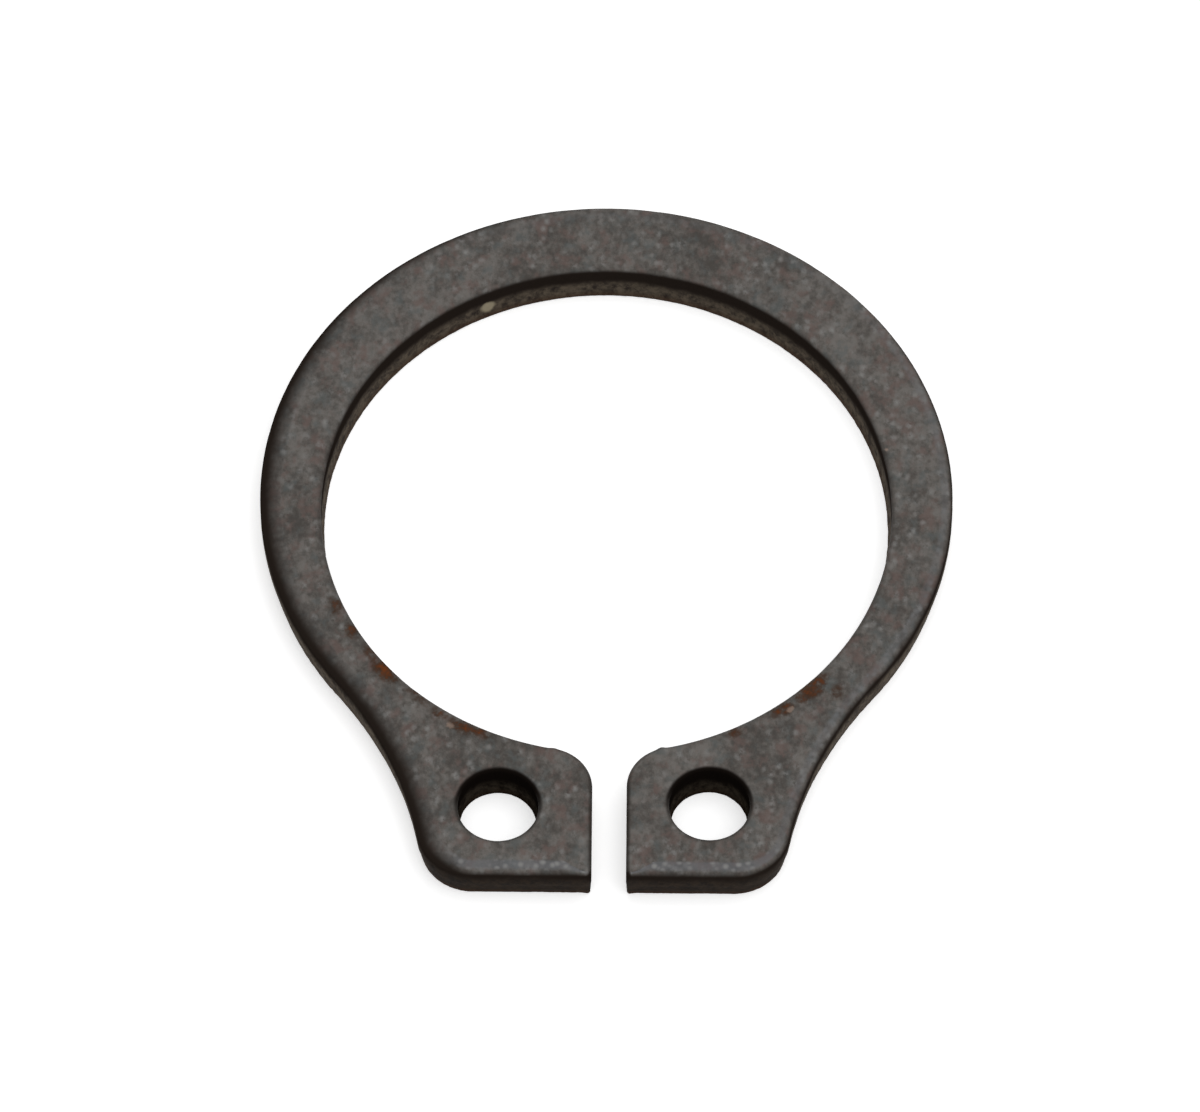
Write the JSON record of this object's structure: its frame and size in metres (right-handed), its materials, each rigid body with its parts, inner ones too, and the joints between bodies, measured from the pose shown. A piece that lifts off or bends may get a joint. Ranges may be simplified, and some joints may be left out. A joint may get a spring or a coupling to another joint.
{
  "type": "external circlip retaining ring",
  "caption": "External circlip: a flat spring steel ring with a tapering bow, an open gap and lugs with plier holes. It snaps into a shaft groove and holds what sits beside it.",
  "frame": {"origin": "centre of the relaxed ring's bore, in the plane of its bottom face", "axes": "+Z along the bore axis, from the bottom face to the rolled top face; the lugs point to -Y"},
  "size_m": [0.02, 0.0229, 0.0012],
  "materials": {
    "phosphated_steel": "phosphated and oiled spring steel, dark warm grey and matt, with fine pale specks and rust spots along the bore edge"
  },
  "bodies": {
    "root": {"retaining_ring": "phosphated_steel"}
  },
  "joints": []
}
